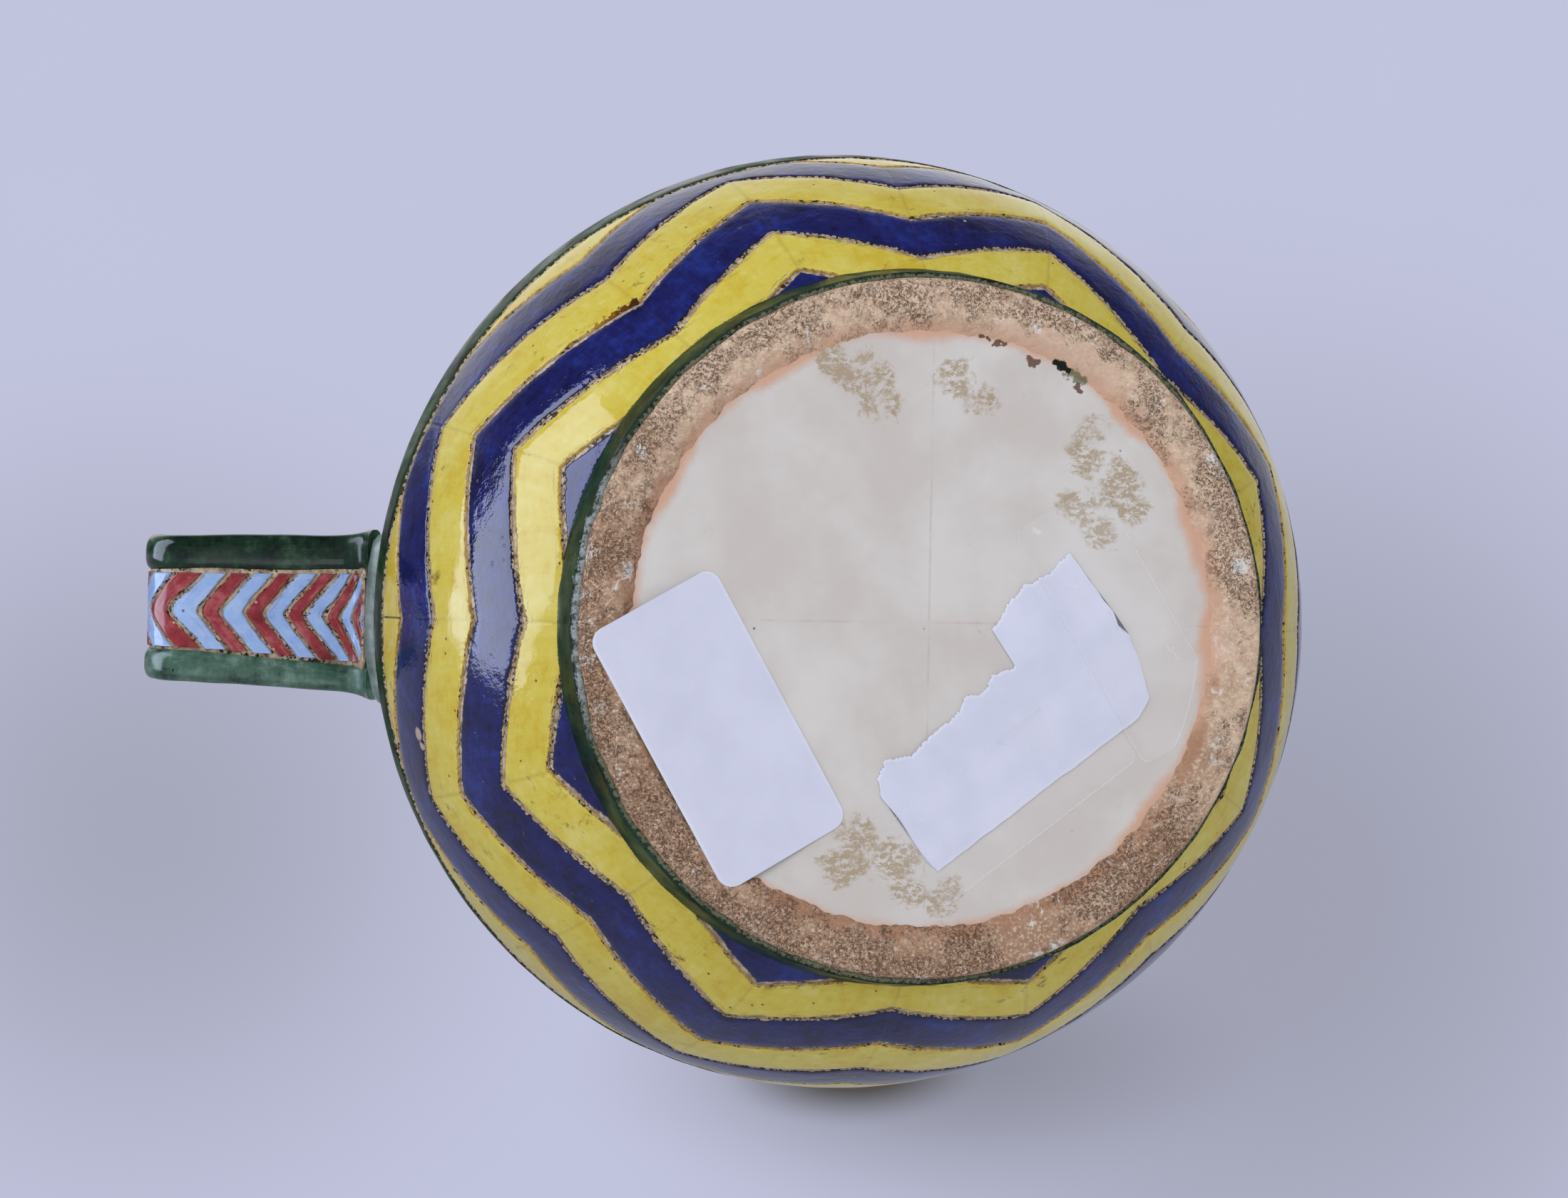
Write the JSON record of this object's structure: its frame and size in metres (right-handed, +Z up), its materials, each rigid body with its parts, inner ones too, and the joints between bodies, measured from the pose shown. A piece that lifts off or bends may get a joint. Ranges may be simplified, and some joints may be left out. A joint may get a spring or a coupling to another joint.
{
  "type": "jug",
  "caption": "Round hand-thrown jug on a foot ring with a straight neck, poured lip, ribbed strap handle and incised zigzag glaze stripes.",
  "frame": {"origin": "on the standing face of the foot ring, on the jug's axis", "axes": "+Z up along the jug's axis, handle along -X, pouring lip along +X"},
  "size_m": [0.2314, 0.1876, 0.1979],
  "materials": {
    "bare_clay": "matt",
    "cream_glaze": "gloss",
    "green_glaze": "gloss",
    "blue_glaze": "gloss",
    "yellow_glaze": "gloss",
    "red_glaze": "satin",
    "light_blue_glaze": "satin",
    "paper": "matt",
    "clear_tape": "gloss"
  },
  "bodies": {
    "root": {"foot_ring": "bare_clay", "base_slab": "bare_clay", "lower_bowl": "bare_clay", "shoulder": "bare_clay", "neck": "bare_clay", "base_glaze": "cream_glaze", "inner_glaze": "cream_glaze", "foot_glaze": "green_glaze", "neck_bead": "green_glaze", "rim_bead": "green_glaze", "collar_glaze": "green_glaze", "pouring_lip": "green_glaze", "belly_band": "green_glaze", "handle_strap": "green_glaze", "handle_rib_left": "green_glaze", "handle_rib_right": "green_glaze", "handle_root_lower": "green_glaze", "handle_root_upper": "green_glaze", "lower_blue_points": "blue_glaze", "lower_blue_inner": "blue_glaze", "lower_blue_outer": "blue_glaze", "upper_blue_outer": "blue_glaze", "upper_blue_inner": "blue_glaze", "upper_blue_points": "blue_glaze", "lower_yellow_inner": "yellow_glaze", "lower_yellow_outer": "yellow_glaze", "lower_yellow_points": "yellow_glaze", "upper_yellow_points": "yellow_glaze", "upper_yellow_outer": "yellow_glaze", "upper_yellow_inner": "yellow_glaze", "neck_red_foot": "red_glaze", "neck_red_middle": "red_glaze", "neck_red_top": "red_glaze", "handle_red_chevrons": "red_glaze", "neck_blue_lower": "light_blue_glaze", "neck_blue_upper": "light_blue_glaze", "handle_blue_chevrons": "light_blue_glaze", "paper_label": "paper", "paper_note": "paper", "clear_tape": "clear_tape"}
  },
  "joints": []
}
